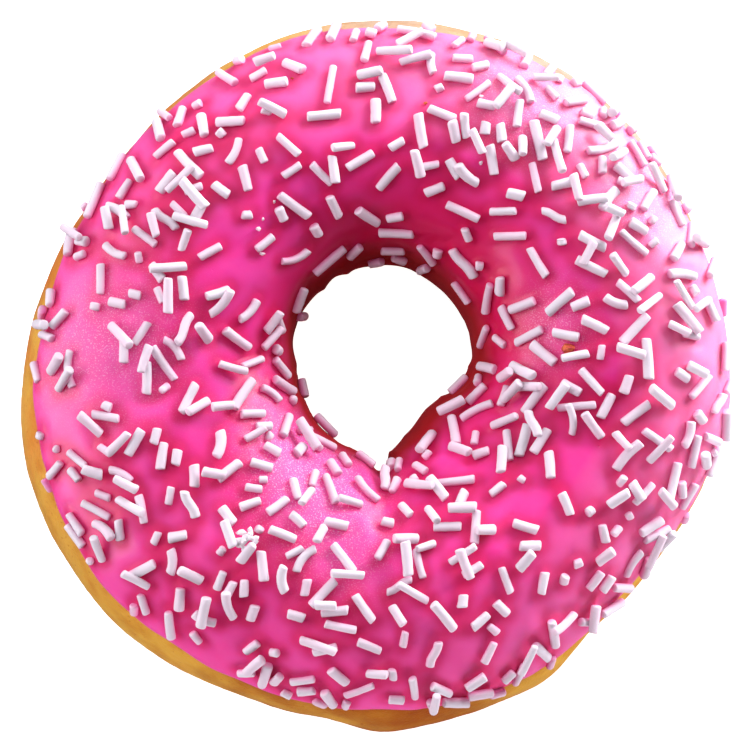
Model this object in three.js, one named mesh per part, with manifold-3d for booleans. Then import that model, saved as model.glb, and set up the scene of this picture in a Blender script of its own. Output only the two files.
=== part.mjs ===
// A raspberry-iced ring doughnut with white sugar strands, in millimetres, standing on z = 0.
// The dough is one solid ring. The icing is a thin coat over its upper side, and the strands are fused
// to the coat.
import * as THREE from "three";
import { mergeVertices } from "three/addons/utils/BufferGeometryUtils.js";
import Module from "manifold-3d";

// Driving sizes of the ring
const OUTER_RADIUS = 44.0;
const HOLE_RADIUS = 12.9;
const EQUATOR_HEIGHT = 15.0;
const CREST_HEIGHT = 32.0;
const UNDERSIDE_DROP = 15.7; // the underside would bulge this far below the equator, but it settled flat
const SQUARENESS = 0.02; // how far the section is from an oval towards a square

// Hand-shaped unevenness: each wave has its size in millimetres, how many there are round the ring, and
// where one peaks in degrees
const OUTER_WAVES = [
  { size: 0.35, count: 1, peak: -136 },
  { size: 1.2, count: 2, peak: 46 },
  { size: 0.35, count: 3, peak: -38 },
  { size: 0.55, count: 4, peak: 9 },
  { size: 0.28, count: 5, peak: -8 },
  { size: 0.25, count: 6, peak: -11 },
];
const HOLE_WAVES = [
  { size: 1.6, count: 1, peak: 47 },
  { size: 0.65, count: 2, peak: 114 },
];
const HOLE_SWELLING = { at: -44, wide: 36, size: -4.7 }; // the dough bulges into the hole here
const HOLE_PLEAT = { at: -89, wide: 7, size: 2.1 }; // a pinched fold beside the bulge
const HOLE_FADE = 3; // the power by which both fade out from the hole to the outer side
const CREST_WAVES = [
  { size: 0.6, count: 2, peak: 75 },
  { size: 0.4, count: 3, peak: 20 },
];

// The icing coat: its edges are latitudes on the ring's section, in degrees above the equator
const ICING_THICKNESS = 1.0;
const ICING_GAP = 0.3; // between the coat and the dough, so that the two stay clear
const OUTER_EDGE = 29;
const OUTER_EDGE_WAVES = [
  { size: 2.4, count: 1, peak: 144 },
  { size: 4.1, count: 2, peak: 66 },
  { size: 0.8, count: 3, peak: -57 },
  { size: 1.3, count: 4, peak: 10 },
  { size: 0.9, count: 7, peak: 20 },
];
const HOLE_EDGE = -1;
const HOLE_EDGE_WAVES = [
  { size: 3.5, count: 1, peak: -115 },
  { size: 2.0, count: 2, peak: 30 },
  { size: 1.5, count: 3, peak: 80 },
  { size: 1.5, count: 5, peak: 10 },
];
const LUMPS = [
  { size: 0.1, round: 5, across: 2, shift: 0.4 },
  { size: 0.08, round: 9, across: -3, shift: 2.1 },
  { size: 0.06, round: 13, across: 4, shift: 4.0 },
];

// Sugar strands: each batch is laid in turn, the longest first
const STRAND_RADIUS = { low: 0.49, high: 0.66 };
const STRAND_SIDES = 6;
const STRAND_SUNK = 0.32; // how deep a strand sits in the coat
const STRAND_TIP = 5; // the most that a strand leans out of the surface, in degrees
const STRAND_BATCHES = [
  { count: 50, short: 4.0, long: 5.2 },
  { count: 85, short: 3.0, long: 4.0 },
  { count: 50, short: 2.0, long: 3.0 },
];
const STRAND_ZONE = { low: 0.04, high: 0.82 }; // the share of the coat's width that carries strands
const DRAW_SEED = 20417;
const MOST_TRIES = 6000; // for each batch
const MOST_PLENTY = 2.8; // as many times the usual number as a place can ask for

// Where the strands lie thick or thin: centre and reach in millimetres, and how many times the usual number
const THICK_AND_THIN = [
  { x: 26, y: 27, reach: 12, times: 2.5 },
  { x: 17, y: -2, reach: 5, times: 1.8 },
  { x: 9, y: -16, reach: 6, times: 1.8 },
  { x: -9, y: -16, reach: 6, times: 1.5 },
  { x: -15, y: -8, reach: 5, times: 1.4 },
  { x: -15, y: -25, reach: 7, times: 1.3 },
  { x: 32, y: -18, reach: 6, times: 1.3 },
  { x: 0, y: 37, reach: 7, times: 1.3 },
  { x: 12, y: 13, reach: 7, times: 0.4 },
  { x: -1, y: 18, reach: 7, times: 0.4 },
  { x: -13, y: 12, reach: 7, times: 0.5 },
  { x: -36, y: 3, reach: 8, times: 0.5 },
  { x: 22, y: -14, reach: 6, times: 0.35 },
  { x: 9, y: -35, reach: 8, times: 0.6 },
  { x: 25, y: -32, reach: 6, times: 0.6 },
];

// How finely the solids are faceted. The dough's stations are latitudes in degrees, and the coat's are
// shares of its width.
const RING_STEPS = 60;
const DOUGH_STATIONS = [0, 20, 40, 60, 80, 100, 120, 140, 160, 180, 200, 218, 234, 250, 290, 306, 322, 340];
const COAT_STATIONS = [0.012, 0.035, 0.12, 0.22, 0.32, 0.42, 0.52, 0.62, 0.72, 0.82, 0.91, 0.965, 0.988];
const COAT_BACK_STATIONS = 11;

const TURN = 2 * Math.PI;
const { degToRad, radToDeg, clamp } = THREE.MathUtils;

// A repeatable draw of numbers between 0 and 1.
class Draw {
  constructor(seed) {
    this.state = seed;
  }

  next() {
    this.state = (this.state * 16807) % 2147483647;
    return this.state / 2147483647;
  }

  between(low, high) {
    return low + (high - low) * this.next();
  }
}

function waves(list, angle) {
  return list.reduce((sum, w) => sum + w.size * Math.cos(w.count * (angle - degToRad(w.peak))), 0);
}

// A smooth bump round one direction of the ring.
function bump({ at, wide, size }, angle) {
  const away = Math.atan2(Math.sin(angle - degToRad(at)), Math.cos(angle - degToRad(at)));
  return size * Math.exp(-((radToDeg(away) / wide) ** 2));
}

function outerRadius(angle) {
  return OUTER_RADIUS + waves(OUTER_WAVES, angle);
}

// The hole's radius where it is narrowest, before its swelling and its pleat.
function holeRadius(angle) {
  return HOLE_RADIUS + waves(HOLE_WAVES, angle);
}

// How far a latitude of the section lies across it, from 1 at the outer side to -1 in the hole.
function shareAcross(latitude) {
  return (Math.cos(latitude) - SQUARENESS * Math.cos(3 * latitude)) / (1 - SQUARENESS);
}

// How strongly a feature of the hole shows at a latitude.
function holeStrength(latitude) {
  return ((1 - shareAcross(latitude)) / 2) ** HOLE_FADE;
}

// A point of the dough before its pleat. The angle goes round the ring, and the latitude goes round its
// section from the outer side.
function bodyPoint(angle, latitude) {
  const outer = outerRadius(angle);
  const hole = holeRadius(angle);
  const up = (Math.sin(latitude) + SQUARENESS * Math.sin(3 * latitude)) / (1 - SQUARENESS);
  const rise = up > 0 ? CREST_HEIGHT + waves(CREST_WAVES, angle) - EQUATOR_HEIGHT : UNDERSIDE_DROP;
  const swelling = bump(HOLE_SWELLING, angle) * holeStrength(latitude);
  const radius = (outer + hole) / 2 + ((outer - hole) / 2) * shareAcross(latitude) + swelling;
  return new THREE.Vector3(radius * Math.cos(angle), radius * Math.sin(angle), EQUATOR_HEIGHT + rise * up);
}

// The pleat moves the dough and the coat alike, away from the middle of the hole.
function pleated(point, angle, latitude) {
  const depth = bump(HOLE_PLEAT, angle) * holeStrength(latitude);
  return point.add(new THREE.Vector3(depth * Math.cos(angle), depth * Math.sin(angle), 0));
}

function doughPoint(angle, latitude) {
  const point = pleated(bodyPoint(angle, latitude), angle, latitude);
  return point.setZ(Math.max(0, point.z));
}

// Two directions along a surface, and the way out of it.
function surfaceFrame(pointAt, u, v) {
  const step = 1e-3;
  const along = pointAt(u + step, v).sub(pointAt(u - step, v)).normalize();
  const across = pointAt(u, v + step).sub(pointAt(u, v - step));
  const out = along.clone().cross(across).normalize();
  return { along, across: out.clone().cross(along), out };
}

// The coat's latitude at a share of its width, from the outer edge (0) to the edge in the hole (1).
function coatLatitude(angle, share) {
  const start = degToRad(OUTER_EDGE + waves(OUTER_EDGE_WAVES, angle));
  const end = Math.PI - degToRad(HOLE_EDGE + waves(HOLE_EDGE_WAVES, angle));
  return start + (end - start) * share;
}

// The coat's thickness: even in the middle, rounded off at both edges, with soft lumps.
function coatThickness(angle, share) {
  const fromMiddle = Math.abs(2 * share - 1);
  const rounded = Math.sqrt(Math.max(0, 1 - fromMiddle ** 24));
  const lumps = LUMPS.map((l) => l.size * Math.sin(l.round * angle + l.across * TURN * share + l.shift));
  return (ICING_THICKNESS + lumps.reduce((sum, lump) => sum + lump, 0)) * rounded;
}

// A point above the dough by some height, at a share of the coat's width.
function coatPoint(angle, share, height) {
  const latitude = coatLatitude(angle, share);
  const { out } = surfaceFrame(bodyPoint, angle, latitude);
  return pleated(bodyPoint(angle, latitude).addScaledVector(out, height), angle, latitude);
}

function icingPoint(angle, share) {
  return coatPoint(angle, share, ICING_GAP + coatThickness(angle, share));
}

// A closed surface whose section changes as it goes round the ring.
function ringGeometry(stations, pointAt) {
  const position = [];
  const index = [];
  for (let i = 0; i < RING_STEPS; i++) {
    for (let j = 0; j < stations; j++) {
      position.push(...pointAt((i / RING_STEPS) * TURN, j).toArray());
      const next = ((i + 1) % RING_STEPS) * stations;
      const a = i * stations + j;
      const b = next + j;
      const c = next + ((j + 1) % stations);
      const d = i * stations + ((j + 1) % stations);
      index.push(a, b, c, a, c, d);
    }
  }
  return new THREE.BufferGeometry()
    .setAttribute("position", new THREE.Float32BufferAttribute(position, 3))
    .setIndex(index);
}

function doughGeometry() {
  return ringGeometry(DOUGH_STATIONS.length, (angle, j) => doughPoint(angle, degToRad(DOUGH_STATIONS[j])));
}

// The coat's section runs over the top from the outer edge to the hole, and back along the dough.
function icingGeometry() {
  const top = [0, ...COAT_STATIONS, 1];
  const back = Array.from({ length: COAT_BACK_STATIONS - 1 }, (_, k) => 1 - (k + 1) / COAT_BACK_STATIONS);
  return ringGeometry(top.length + back.length, (angle, j) =>
    j < top.length ? icingPoint(angle, top[j]) : coatPoint(angle, back[j - top.length], ICING_GAP),
  );
}

// How many times the usual number of strands lie at a place seen from above.
function plenty(point) {
  return THICK_AND_THIN.reduce((times, p) => {
    const far = ((point.x - p.x) ** 2 + (point.y - p.y) ** 2) / p.reach ** 2;
    return times * (1 + (p.times - 1) * Math.exp(-far));
  }, 1);
}

// The shortest distance between two straight pieces, each given by its middle, its direction and half
// its length.
function distanceBetween(a, b) {
  const gap = a.middle.clone().sub(b.middle);
  const facing = a.direction.dot(b.direction);
  const alongA = gap.dot(a.direction);
  const alongB = gap.dot(b.direction);
  const spread = 1 - facing * facing;
  let s = spread > 1e-9 ? (facing * alongB - alongA) / spread : 0;
  s = clamp(s, -a.half, a.half);
  const t = clamp(facing * s + alongB, -b.half, b.half);
  s = clamp(facing * t - alongA, -a.half, a.half);
  return gap.addScaledVector(a.direction, s).addScaledVector(b.direction, -t).length();
}

// One strand at random on the coat. Each try takes the same number of draws, so that the tries stay in step.
function strandAt(draw, batch) {
  const angle = draw.between(0, TURN);
  const share = draw.between(STRAND_ZONE.low, STRAND_ZONE.high);
  const heading = draw.between(0, TURN);
  const tip = degToRad(draw.between(-STRAND_TIP, STRAND_TIP));
  const length = draw.between(batch.short, batch.long);
  const radius = draw.between(STRAND_RADIUS.low, STRAND_RADIUS.high);
  const luck = draw.next();
  const place = icingPoint(angle, share);
  const { along, across, out } = surfaceFrame(icingPoint, angle, share);
  const direction = along.multiplyScalar(Math.cos(heading)).addScaledVector(across, Math.sin(heading));
  direction.multiplyScalar(Math.cos(tip)).addScaledVector(out, Math.sin(tip));
  const middle = place.clone().addScaledVector(out, radius - STRAND_SUNK);
  const spacing = Math.hypot(place.x, place.y) / OUTER_RADIUS; // the ring is wider outside, and takes more
  return { middle, direction, out, half: length / 2, radius, chance: plenty(place) * spacing, luck };
}

// Lays every strand in turn where it is clear of those before it.
function layStrands() {
  const draw = new Draw(DRAW_SEED);
  const laid = [];
  for (const batch of STRAND_BATCHES) {
    let left = batch.count;
    for (let i = 0; i < MOST_TRIES && left > 0; i++) {
      const strand = strandAt(draw, batch);
      const wanted = strand.luck * MOST_PLENTY < strand.chance;
      if (wanted && laid.every((other) => distanceBetween(strand, other) > strand.radius + other.radius)) {
        laid.push(strand);
        left--;
      }
    }
  }
  return laid;
}

// A strand is a rod of six sides with blunt ends, one edge of it uppermost.
function strandGeometry({ middle, direction, out, half, radius }) {
  const up = out.clone().addScaledVector(direction, -out.dot(direction)).normalize();
  const side = up.clone().cross(direction);
  const corners = Array.from({ length: STRAND_SIDES }, (_, k) => {
    const around = Math.PI / 2 + (k / STRAND_SIDES) * TURN;
    return new THREE.Vector2(radius * Math.cos(around), radius * Math.sin(around));
  });
  return new THREE.ExtrudeGeometry(new THREE.Shape(corners), { depth: 2 * half, bevelEnabled: false })
    .translate(0, 0, -half)
    .applyMatrix4(new THREE.Matrix4().makeBasis(side, up, direction).setPosition(middle));
}

const wasm = await Module();
wasm.setup();

function toSolid(geometry) {
  const bare = new THREE.BufferGeometry()
    .setAttribute("position", geometry.getAttribute("position"))
    .setIndex(geometry.index);
  const merged = mergeVertices(bare, 1e-4);
  return new wasm.Manifold(
    new wasm.Mesh({
      numProp: 3,
      vertProperties: merged.getAttribute("position").array,
      triVerts: new Uint32Array(merged.index.array),
    }),
  );
}

function toGeometry(solid) {
  const mesh = solid.getMesh();
  return new THREE.BufferGeometry()
    .setAttribute("position", new THREE.BufferAttribute(mesh.vertProperties, 3))
    .setIndex(new THREE.BufferAttribute(mesh.triVerts, 1));
}

const doughnut = new THREE.Group();

const dough = new THREE.Mesh(
  doughGeometry(),
  new THREE.MeshStandardMaterial({ color: 0xd99a3f, roughness: 0.6, metalness: 0 }),
);
dough.name = "dough";
doughnut.add(dough);

const strandGeometries = layStrands().map(strandGeometry);
const icing = new THREE.Mesh(
  toGeometry(wasm.Manifold.union([icingGeometry(), ...strandGeometries].map(toSolid))),
  new THREE.MeshStandardMaterial({ color: 0xe8308c, roughness: 0.35, metalness: 0 }),
);
icing.name = "icing";
doughnut.add(icing);

// The origin is the middle of the underside of the whole.
const box = new THREE.Box3().setFromObject(doughnut, true);
const centre = box.getCenter(new THREE.Vector3());
doughnut.children.forEach((mesh) => mesh.geometry.translate(-centre.x, -centre.y, -box.min.z));
doughnut.children.forEach((mesh) => mesh.geometry.computeVertexNormals());

export default doughnut;
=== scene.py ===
"""A raspberry-iced ring doughnut with white sugar strands: its fine surfaces, finishes, light and camera.

The doughnut's own sizes are millimetres, and each mesh is made from them in metres.
"""

import logging
import math
from collections.abc import Callable
from dataclasses import dataclass, field, replace
from enum import Enum
from itertools import product

import bmesh
import bpy
import numpy as np
from mathutils import Matrix, Vector
from mathutils.kdtree import KDTree

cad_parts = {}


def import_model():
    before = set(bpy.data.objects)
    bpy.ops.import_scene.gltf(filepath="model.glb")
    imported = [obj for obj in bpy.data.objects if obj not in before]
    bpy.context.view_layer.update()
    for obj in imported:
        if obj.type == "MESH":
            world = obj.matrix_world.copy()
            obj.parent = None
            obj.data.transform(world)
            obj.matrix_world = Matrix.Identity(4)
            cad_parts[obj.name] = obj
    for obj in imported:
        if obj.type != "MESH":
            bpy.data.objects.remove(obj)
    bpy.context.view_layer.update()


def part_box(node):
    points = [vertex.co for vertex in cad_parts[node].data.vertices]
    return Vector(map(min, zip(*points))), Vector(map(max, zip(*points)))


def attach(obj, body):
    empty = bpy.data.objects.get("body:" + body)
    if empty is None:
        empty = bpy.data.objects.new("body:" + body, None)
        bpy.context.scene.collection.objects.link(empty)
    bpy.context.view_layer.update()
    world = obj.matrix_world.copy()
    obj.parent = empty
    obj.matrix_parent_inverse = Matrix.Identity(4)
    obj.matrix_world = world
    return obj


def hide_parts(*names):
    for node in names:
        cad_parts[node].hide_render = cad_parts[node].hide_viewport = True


log = logging.getLogger("doughnut")

# millimetres to metres, a full turn, the body that carries every piece, and where the sizes are kept
MM = 0.001
TURN = 2.0 * math.pi
BODY = "root"
# the values that the meshes keep at each point for their finishes
# pink on the strands: icing soaked in, painted pink bounce light low down, and painted shade near the hole
STAIN_AND_BOUNCE = "stain"
# painted shade round the strands, partly the icing darkened where they sit moist in it
DAMP_AND_SHADE = "damp_and_shade"
# painted shade: the icing darkens to red towards the hole, sooner on its shaded side
PAINTED_HOLE_SHADE = "deep"
# frosty patches: a real sugar grain, with painted sheen and painted glints in the colour
FROST_AND_SHEEN = "frost_and_sheen"
# paler icing towards the outer edge: partly thinner icing, partly a painted highlight on the side towards the
# key lamp
THIN_AND_LIT = "thin"
# painted shade: dark red low on the hole's side
PAINTED_WALL_SHADE = "wall"
# the colour sockets of the mixing node
MIX_FIRST = 6
MIX_SECOND = 7
MIX_RESULT = 2

Array = np.ndarray
PointAt = Callable[[Array, Array], Array]
Colour = tuple[float, float, float]
Place = tuple[float, float, float]
Socket = bpy.types.NodeSocket


@dataclass(frozen=True)
class Wave:
    """One wave round the ring: its size, how many there are in a turn, and where one peaks in degrees."""

    size: float
    count: int
    peak: float


@dataclass(frozen=True)
class Bump:
    """A smooth bump at one direction of the ring, with its width in degrees and its size in millimetres."""

    at: float
    wide: float
    size: float

    def over(self, angle: Array) -> Array:
        """Measure the bump at some directions.

        Args:
            angle: Directions round the ring, in radians.

        Returns:
            The bump's height at each direction.
        """
        turned = angle - math.radians(self.at)
        away = np.degrees(np.arctan2(np.sin(turned), np.cos(turned)))
        return self.size * np.exp(-((away / self.wide) ** 2))


@dataclass(frozen=True)
class Lump:
    """A soft lump in the icing that repeats round the ring and across the coat."""

    size: float
    round: int
    across: int
    shift: float


@dataclass(frozen=True)
class Spot:
    """A round place seen from above: its centre, its reach, and how thick strands, or frosty grain with
    painted sheen and glints, lie there.
    """

    x: float
    y: float
    reach: float
    times: float

    def over(self, place: Array) -> Array:
        """How strongly the spot is felt at places, from 0 far off to 1 at its centre."""
        return np.exp(-((place[..., 0] - self.x) ** 2 + (place[..., 1] - self.y) ** 2) / self.reach**2)


def waves(listed: tuple[Wave, ...], angle: Array) -> Array:
    """Add up waves at directions round the ring, given in radians."""
    return sum(wave.size * np.cos(wave.count * (angle - math.radians(wave.peak))) for wave in listed)


def unit(vectors: Array) -> Array:
    """Scale vectors, which lie along the last axis, to length one."""
    return vectors / np.linalg.norm(vectors, axis=-1, keepdims=True)


def eased(share: Array) -> Array:
    """Ease a share between 0 and 1, so that it starts and ends level."""
    return share * share * (3 - 2 * share)


@dataclass(frozen=True)
class Grain:
    """Smooth repeatable noise through space, between about -1 and 1."""

    seed: int
    cells: int = 32

    def at(self, points: Array, wavelength: float) -> Array:
        """Read the noise.

        Args:
            points: Places in space, in millimetres.
            wavelength: The size of one cell of the noise, in millimetres.

        Returns:
            The noise at each place.
        """
        lattice = np.random.default_rng(self.seed).uniform(-1.0, 1.0, (self.cells,) * 3)
        scaled = points / wavelength
        cell = np.floor(scaled).astype(int)
        part = scaled - cell
        # the smooth step of the fifth degree, which leaves no creases at the cells' sides
        part = part**3 * (part * (6.0 * part - 15.0) + 10.0)
        total = np.zeros(points.shape[:-1])
        for corner in product((0, 1), repeat=3):
            weight = np.ones(points.shape[:-1])
            for axis, far in enumerate(corner):
                weight = weight * (part[..., axis] if far else 1.0 - part[..., axis])
            where = (cell + np.array(corner)) % self.cells
            total += weight * lattice[where[..., 0], where[..., 1], where[..., 2]]
        return total


@dataclass
class RingForm:
    """The hand-shaped ring and the thickness of its coat, with the sizes that the solids have."""

    outer_radius: float = 44.0
    hole_radius: float = 12.9
    equator_height: float = 15.0
    crest_height: float = 32.0
    underside_drop: float = 15.7
    squareness: float = 0.02
    outer_waves: tuple[Wave, ...] = (
        Wave(0.35, 1, -136), Wave(1.2, 2, 46), Wave(0.35, 3, -38), Wave(0.55, 4, 9),
        Wave(0.28, 5, -8), Wave(0.25, 6, -11),
    )
    hole_waves: tuple[Wave, ...] = (Wave(1.6, 1, 47), Wave(0.65, 2, 114))
    hole_swelling: Bump = Bump(-44, 36, -4.7)
    hole_pleat: Bump = Bump(-89, 7, 2.1)
    hole_fade: int = 3
    crest_waves: tuple[Wave, ...] = (Wave(0.6, 2, 75), Wave(0.4, 3, 20))
    icing_thickness: float = 1.0
    icing_gap: float = 0.3
    outer_edge: float = 29.0
    outer_edge_waves: tuple[Wave, ...] = (
        Wave(2.4, 1, 144), Wave(4.1, 2, 66), Wave(0.8, 3, -57), Wave(1.3, 4, 10), Wave(0.9, 7, 20),
    )
    hole_edge: float = -1.0
    hole_edge_waves: tuple[Wave, ...] = (
        Wave(3.5, 1, -115), Wave(2.0, 2, 30), Wave(1.5, 3, 80), Wave(1.5, 5, 10),
    )
    edge_fullness: int = 24
    lumps: tuple[Lump, ...] = (Lump(0.1, 5, 2, 0.4), Lump(0.08, 9, -3, 2.1), Lump(0.06, 13, 4, 4.0))
    nick_size: float = 0.34
    nick_wave: float = 2.3
    nick_spread: float = 7.0
    nick_reach: float = 24.0
    nick_crest: float = 0.7
    nick_depth: float = 2.0
    nick_share: float = 0.65
    nick_squash: float = 0.25
    nick_seed: int = 61
    solid_steps: int = 60
    solid_stations: tuple[int, ...] = (
        0, 20, 40, 60, 80, 100, 120, 140, 160, 180, 200, 218, 234, 250, 290, 306, 322, 340,
    )
    move: Array = field(default_factory=lambda: np.zeros(3))

    def share_across(self, latitude: Array) -> Array:
        """How far latitudes lie across the section, from 1 at the outer side to -1 in the hole."""
        return (np.cos(latitude) - self.squareness * np.cos(3 * latitude)) / (1 - self.squareness)

    def hole_strength(self, latitude: Array) -> Array:
        """How strongly a feature of the hole shows at latitudes."""
        return ((1 - self.share_across(latitude)) / 2) ** self.hole_fade

    def body(self, angle: Array, latitude: Array) -> Array:
        """Find points of the dough before its pleat.

        Args:
            angle: Directions round the ring, in radians.
            latitude: Latitudes round the section from the outer side, in radians.

        Returns:
            The points, in millimetres.
        """
        outer = self.outer_radius + waves(self.outer_waves, angle)
        hole = self.hole_radius + waves(self.hole_waves, angle)
        up = (np.sin(latitude) + self.squareness * np.sin(3 * latitude)) / (1 - self.squareness)
        above = self.crest_height + waves(self.crest_waves, angle) - self.equator_height
        rise = np.where(up > 0, above, self.underside_drop)
        swelling = self.hole_swelling.over(angle) * self.hole_strength(latitude)
        radius = (outer + hole) / 2 + (outer - hole) / 2 * self.share_across(latitude) + swelling
        height = self.equator_height + rise * up
        return np.stack([radius * np.cos(angle), radius * np.sin(angle), height], axis=-1)

    def pleated(self, points: Array, angle: Array, latitude: Array) -> Array:
        """Move points away from the middle of the hole where the pleat is.

        Args:
            points: The points, in millimetres.
            angle: Their directions round the ring.
            latitude: Their latitudes.

        Returns:
            The moved points.
        """
        depth = self.hole_pleat.over(angle) * self.hole_strength(latitude)
        return points + np.stack([depth * np.cos(angle), depth * np.sin(angle), 0 * depth], axis=-1)

    def dough(self, angle: Array, latitude: Array) -> Array:
        """Find points of the dough, settled flat on what it rests on.

        Args:
            angle: Directions round the ring, in radians.
            latitude: Latitudes round the section, in radians.

        Returns:
            The points, in millimetres.
        """
        points = self.pleated(self.body(angle, latitude), angle, latitude)
        points[..., 2] = np.maximum(0.0, points[..., 2])
        return points

    def latitude(self, angle: Array, share: Array) -> Array:
        """The coat's latitude at shares of its width, from its outer edge (0) to its edge in the hole (1)."""
        start = np.radians(self.outer_edge + waves(self.outer_edge_waves, angle))
        end = math.pi - np.radians(self.hole_edge + waves(self.hole_edge_waves, angle))
        return start + (end - start) * share

    def rounded(self, share: Array) -> Array:
        """How full the coat is at shares of its width, from 0 at both edges to 1 between them."""
        return np.sqrt(np.maximum(0.0, 1 - np.abs(2 * share - 1) ** self.edge_fullness))

    def thickness(self, angle: Array, share: Array) -> Array:
        """The coat's thickness, rounded off at both edges, with soft lumps."""
        lumpy = sum(
            lump.size * np.sin(lump.round * angle + lump.across * TURN * share + lump.shift)
            for lump in self.lumps
        )
        return (self.icing_thickness + lumpy) * self.rounded(share)

    def coat(self, angle: Array, share: Array, height: Array) -> Array:
        """Find points at some height over the dough.

        Args:
            angle: Directions round the ring, in radians.
            share: Shares of the coat's width.
            height: Heights over the dough, in millimetres.

        Returns:
            The points, in millimetres.
        """
        latitude = self.latitude(angle, share)
        out = frame_of(self.body, angle, latitude)[2]
        raised = self.body(angle, latitude) + out * height[..., None]
        return self.pleated(raised, angle, latitude)

    def icing(self, angle: Array, share: Array) -> Array:
        """The top of the coat at directions and shares of its width."""
        return self.coat(angle, share, self.icing_gap + self.thickness(angle, share))

    def nicks(self, points: Array, latitude: Array) -> Array:
        """Find how far the ragged lip of the hole stands out of the plain form.

        Args:
            points: Points of the plain form, in millimetres.
            latitude: Their latitudes round the section, in radians.

        Returns:
            The height at each point, in millimetres.
        """
        tall = points * np.array([1.0, 1.0, self.nick_squash])
        ridges = self.nick_crest - self.nick_depth * np.abs(Grain(self.nick_seed).at(tall, self.nick_wave))
        patches = Grain(self.nick_seed + 1).at(tall, self.nick_spread)
        strength = np.clip(self.nick_share + patches, 0.0, 1.0)
        near = np.exp(-(((np.degrees(latitude) - 180.0) / self.nick_reach) ** 2))
        return self.nick_size * ridges * strength * near

    def follow_solids(self) -> None:
        """Set the move from these formulas' place to the solids' place."""
        angle = np.arange(self.solid_steps) / self.solid_steps * TURN
        latitude = np.radians(np.array(self.solid_stations, float))
        points = self.dough(*np.meshgrid(angle, latitude, indexing="ij")).reshape(-1, 3)
        low, high = (np.array(corner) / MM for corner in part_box("dough"))
        self.move = (low + high) / 2 - (points.min(0) + points.max(0)) / 2

    def placed(self, points: Array) -> Array:
        """Move points of the formulas, in millimetres, to the solids' place, in metres."""
        return (points + self.move) * MM


def frame_of(point_at: PointAt, across_first: Array, across_second: Array) -> tuple[Array, Array, Array]:
    """Find two directions along a surface and the way out of it.

    Args:
        point_at: The surface, as a function of two values.
        across_first: The first value at each place.
        across_second: The second value at each place.

    Returns:
        The direction along the first value, the one across it, and the way out, each of length one.
    """
    step = 1e-3
    along = unit(point_at(across_first + step, across_second) - point_at(across_first - step, across_second))
    across = point_at(across_first, across_second + step) - point_at(across_first, across_second - step)
    out = unit(np.cross(along, across))
    return along, np.cross(out, along), out


def closed_grid(name: str, points: Array, marks: dict[str, Array] | None = None) -> bpy.types.Object:
    """Make a smooth object from a grid of points that closes on itself both ways.

    Args:
        name: The object's name.
        points: The grid, in metres, as rows of sections round the ring.
        marks: Values kept at each point for the finish, by name.

    Returns:
        The new object, linked to the scene.
    """
    rows, columns = points.shape[:2]
    number = np.arange(rows * columns).reshape(rows, columns)
    right = np.roll(number, -1, axis=0)
    quads = np.stack([number, right, np.roll(right, -1, axis=1), np.roll(number, -1, axis=1)], axis=-1)
    return mesh_object(name, points.reshape(-1, 3), quads.reshape(-1, 4), marks)


def mesh_object(
    name: str, points: Array, faces: Array, marks: dict[str, Array] | None = None
) -> bpy.types.Object:
    """Make a smooth object from faces that all have the same number of corners.

    Args:
        name: The object's name.
        points: The vertices, in metres.
        faces: The vertex numbers of each face.
        marks: Values kept at each vertex for the finish, by name.

    Returns:
        The new object, linked to the scene.
    """
    mesh = bpy.data.meshes.new(name)
    mesh.vertices.add(len(points))
    mesh.vertices.foreach_set("co", np.ascontiguousarray(points, np.float32).ravel())
    mesh.loops.add(faces.size)
    mesh.loops.foreach_set("vertex_index", np.ascontiguousarray(faces, np.int32).ravel())
    mesh.polygons.add(len(faces))
    mesh.polygons.foreach_set("loop_start", np.arange(0, faces.size, faces.shape[1], dtype=np.int32))
    mesh.update(calc_edges=True)
    mesh.validate()
    mesh.shade_smooth()
    for mark, values in (marks or {}).items():
        mesh.attributes.new(mark, "FLOAT", "POINT").data.foreach_set("value", values.astype(np.float32))
    made = bpy.data.objects.new(name, mesh)
    bpy.context.scene.collection.objects.link(made)
    return made


def plain(colour: Colour) -> tuple[float, float, float, float]:
    """Give a colour the fourth number that the shaders ask for."""
    return (*colour, 1.0)


@dataclass(frozen=True)
class Patches:
    """Uneven patches: their size in millimetres, how many finer noises they hold, and where they fade in."""

    size: float
    detail: float
    low: float = 0.3
    high: float = 0.7


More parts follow.
